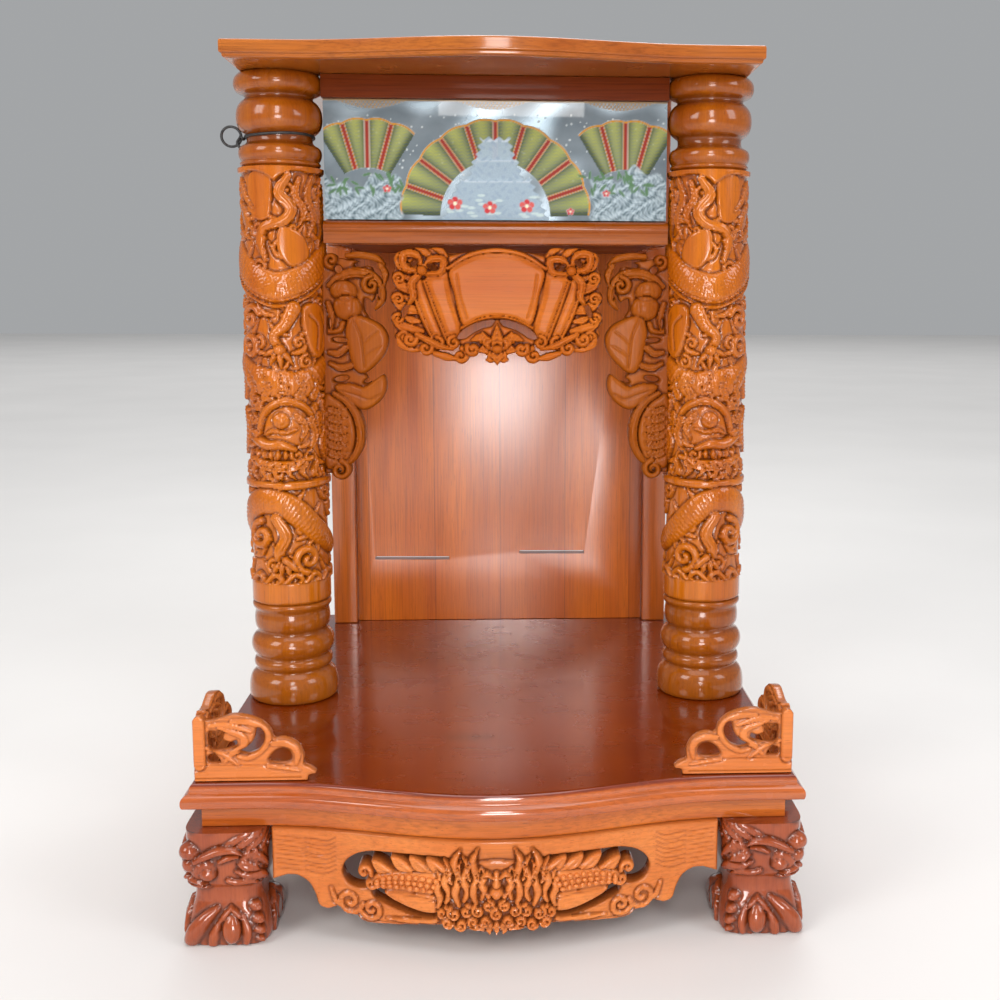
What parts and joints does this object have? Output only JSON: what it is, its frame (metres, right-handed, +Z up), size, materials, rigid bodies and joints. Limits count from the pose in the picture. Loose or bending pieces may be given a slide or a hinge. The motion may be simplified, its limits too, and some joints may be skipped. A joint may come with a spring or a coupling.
{
  "type": "household altar cabinet",
  "caption": "Small lacquered hardwood shrine: open niche between carved columns, painted glass over a pierced valance, bow-fronted deck on clawed feet.",
  "frame": {"origin": "middle of the cabinet's footprint, on the floor", "axes": "+Z up, front towards -Y, +X to the right when seen from the front"},
  "size_m": [0.488, 0.526, 0.704],
  "materials": {
    "deck_wood": "dark red-brown hardwood under deep gloss lacquer",
    "frame_wood": "orange-brown hardwood under gloss lacquer",
    "panel_wood": "straight-grained boards under gloss lacquer",
    "carved_wood": "carved orange-brown hardwood, gloss lacquer, darker in the hollows",
    "foot_wood": "carved dark red-brown hardwood, deep gloss lacquer",
    "column_wood": "carved bright orange-brown hardwood, gloss lacquer, darker in the hollows",
    "painted_glass": "back-painted, silvered glass with coloured fans, polished",
    "black_wire": "black plastic-covered wire, satin"
  },
  "bodies": {
    "root": {"deck_board": "deck_wood", "front_rail": "frame_wood", "side_rail_left": "frame_wood", "side_rail_right": "frame_wood", "rear_rail": "frame_wood", "canopy_board": "frame_wood", "top_rail": "frame_wood", "lintel": "frame_wood", "ceiling_board": "frame_wood", "box_side_left": "frame_wood", "box_side_right": "frame_wood", "rear_post_left": "panel_wood", "rear_post_right": "panel_wood", "back_panel": "panel_wood", "front_apron": "carved_wood", "side_apron_left": "carved_wood", "side_apron_right": "carved_wood", "rear_apron": "carved_wood", "valance_centre": "carved_wood", "valance_bracket_left": "carved_wood", "valance_bracket_right": "carved_wood", "gallery_front_left": "carved_wood", "gallery_front_right": "carved_wood", "gallery_side_left": "carved_wood", "gallery_side_right": "carved_wood", "foot_front_left": "foot_wood", "foot_front_right": "foot_wood", "foot_rear_left": "foot_wood", "foot_rear_right": "foot_wood", "column_left": "column_wood", "column_right": "column_wood", "painted_glass": "painted_glass", "wire_tie": "black_wire"}
  },
  "joints": []
}
